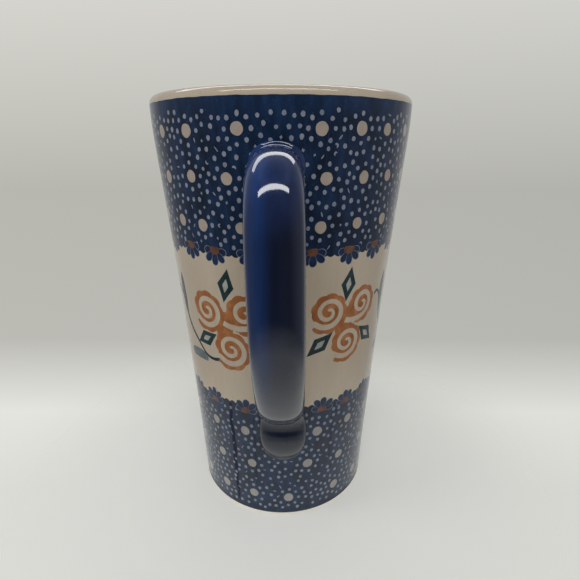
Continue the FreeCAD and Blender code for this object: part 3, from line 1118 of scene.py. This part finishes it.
# Light by direction: front to back, left to right, from below and from above. The backdrop goes
# by the slope of the line of sight.
BY_DEPTH = [
    (-0.75, (0.030, 0.031, 0.034)), (0.1, (0.06, 0.06, 0.063)), (0.45, (0.17, 0.17, 0.17)),
    (0.75, (0.44, 0.44, 0.425)),
]
BY_SIDE = [
    (-1, (0.11, 0.11, 0.11)), (-0.6, (0.022, 0.022, 0.022)), (0, (0, 0, 0)), (0.6, (0.045, 0.045, 0.045)),
    (1, (0.17, 0.17, 0.17)),
]
FROM_BELOW = [(-0.72, (0.55, 0.56, 0.55)), (-0.45, (0, 0, 0))]
FROM_ABOVE = [(0.78, (0, 0, 0)), (0.89, (0.11, 0.115, 0.12)), (0.97, (0.01, 0.01, 0.012))]
BACKDROP = [
    (-0.98, (0.71, 0.72, 0.67)), (-0.70, (0.775, 0.78, 0.725)), (-0.60, (0.65, 0.655, 0.61)),
    (-0.48, (0.50, 0.50, 0.46)), (-0.1, (0.475, 0.475, 0.435)), (0.28, (0.67, 0.665, 0.62)),
]
BACKDROP_TILT = [(-0.6, (1, 1, 1)), (0.6, (0.94, 0.945, 0.95))]

# The camera, in metres and degrees.
CAMERA_DISTANCE = 0.1582
CAMERA_HEIGHT = 0.1339
CAMERA_SIDE = 1.3
CAMERA_TILT = 19.06
CAMERA_TURN = -0.24
LENS = 26.3


def make_floor():
    """A pale floor under the mug that fades out into the pale surroundings."""
    corners = [(x * FLOOR_HALF, y * FLOOR_HALF, 0) for x, y in ((-1, -1), (1, -1), (1, 1), (-1, 1))]
    mesh = bpy.data.meshes.new("floor")
    mesh.from_pydata(corners, [], [(0, 1, 2, 3)])
    floor = bpy.data.objects.new("floor", mesh)
    bpy.context.scene.collection.objects.link(floor)
    material, nodes, links, shader = new_material("floor")
    shader.inputs["Base Color"].default_value = (0.88, 0.885, 0.85, 1)
    shader.inputs["Roughness"].default_value = 0.8
    place = nodes.new("ShaderNodeTexCoord")
    length = nodes.new("ShaderNodeVectorMath")
    length.operation = "LENGTH"
    links.new(place.outputs["Object"], length.inputs[0])
    fade = nodes.new("ShaderNodeMapRange")
    fade.interpolation_type = "SMOOTHSTEP"
    fade.inputs["From Min"].default_value, fade.inputs["From Max"].default_value = FLOOR_FADE
    fade.inputs["To Min"].default_value = 1.0
    fade.inputs["To Max"].default_value = 0.0
    links.new(length.outputs["Value"], fade.inputs["Value"])
    links.new(fade.outputs["Result"], shader.inputs["Alpha"])
    shader.inputs["Emission Color"].default_value = (1, 1, 0.93, 1)
    shader.inputs["Emission Strength"].default_value = 0.225
    floor.data.materials.append(material)


def make_world():
    """A pale studio. What lights the mug is bright behind it and dim in front."""
    world = bpy.data.worlds.new("studio")
    bpy.context.scene.world = world
    world.use_nodes = True
    nodes, links = world.node_tree.nodes, world.node_tree.links
    place = nodes.new("ShaderNodeTexCoord")
    split = nodes.new("ShaderNodeSeparateXYZ")
    links.new(place.outputs["Generated"], split.inputs[0])

    def stops_along(value, stops):
        """Colours by a value from -1 to 1."""
        spread = nodes.new("ShaderNodeMapRange")
        spread.inputs["From Min"].default_value = -1
        links.new(value, spread.inputs["Value"])
        return ramp(nodes, links, spread.outputs["Result"], [((p + 1) / 2, c) for p, c in stops])

    def along(axis, stops):
        return stops_along(split.outputs[axis], stops)

    def calculate(operation, *values):
        node = nodes.new("ShaderNodeMath")
        node.operation = operation
        for value, socket in zip(values, node.inputs):
            links.new(value, socket)
        return node.outputs[0]

    light = along("Y", BY_DEPTH)
    light = blend_colours(nodes, links, "ADD", 1.0, light, along("X", BY_SIDE))
    light = blend_colours(nodes, links, "LIGHTEN", 1.0, light, along("Z", FROM_BELOW))
    light = blend_colours(nodes, links, "ADD", 1.0, light, along("Z", FROM_ABOVE))
    wide_x, wide_y = calculate("ABSOLUTE", split.outputs["X"]), calculate("ABSOLUTE", split.outputs["Y"])
    slope = calculate("DIVIDE", split.outputs["Z"], calculate("MAXIMUM", wide_x, wide_y))
    plain = stops_along(slope, BACKDROP)
    plain = blend_colours(nodes, links, "MULTIPLY", 1.0, plain, along("X", BACKDROP_TILT))
    path = nodes.new("ShaderNodeLightPath")
    colour = blend_colours(nodes, links, "MIX", path.outputs["Is Camera Ray"], light, plain)
    links.new(colour, nodes["Background"].inputs["Color"])


def area_light(name, place, target, size, power, roll=0.0):
    """A rectangular lamp aimed at a target, in metres, watts and degrees."""
    data = bpy.data.lights.new(name, "AREA")
    data.shape = "RECTANGLE"
    data.size, data.size_y = size
    data.energy = power
    lamp = bpy.data.objects.new(name, data)
    lamp.location = place
    lamp.rotation_mode = "QUATERNION"
    aim = (Vector(target) - Vector(place)).to_track_quat("-Z", "Y")
    lamp.rotation_quaternion = aim @ Quaternion((0, 0, 1), math.radians(roll))
    bpy.context.scene.collection.objects.link(lamp)
    return lamp


def make_lamps():
    """Long lamps that only the glaze mirrors, and soft ones that only light the paint."""
    target = (0, 0, 0.08)
    mirrored = [
        area_light("front_tube", (-0.04, -0.456, 0.988), (0, -0.07, 0.12), (1.5, 0.15), 7.0, roll=10),
        area_light("back_tube", (-0.08, 0.49, 0.84), (0, -0.06, 0.13), (1.4, 0.2), 3.8),
    ]
    for lamp in mirrored:
        lamp.visible_diffuse = False
    unmirrored = [
        area_light("left_window", (-0.85, -0.20, 0.35), target, (0.35, 0.9), 2.1),
        area_light("right_window", (0.85, -0.25, 0.35), target, (0.35, 0.9), 0.4),
        area_light("soft", (0.04, -0.74, 0.62), (0, 0, 0.07), (0.8, 0.8), 3.75),
    ]
    for lamp in unmirrored:
        lamp.visible_glossy = False


def make_camera():
    data = bpy.data.cameras.new("camera")
    data.lens, data.sensor_width = LENS, 36.0
    data.clip_start = 0.01
    camera = bpy.data.objects.new("camera", data)
    tilt, turn, side = math.radians(CAMERA_TILT), math.radians(CAMERA_TURN), math.radians(CAMERA_SIDE)
    camera.location = (CAMERA_DISTANCE * math.sin(side), -CAMERA_DISTANCE * math.cos(side), CAMERA_HEIGHT)
    ahead = Vector((math.sin(turn) * math.cos(tilt), math.cos(turn) * math.cos(tilt), -math.sin(tilt)))
    camera.rotation_mode = "QUATERNION"
    camera.rotation_quaternion = ahead.to_track_quat("-Z", "Y")
    bpy.context.scene.collection.objects.link(camera)
    bpy.context.scene.camera = camera


make_floor()
make_world()
make_lamps()
make_camera()
bpy.context.scene.view_settings.view_transform = "Standard"
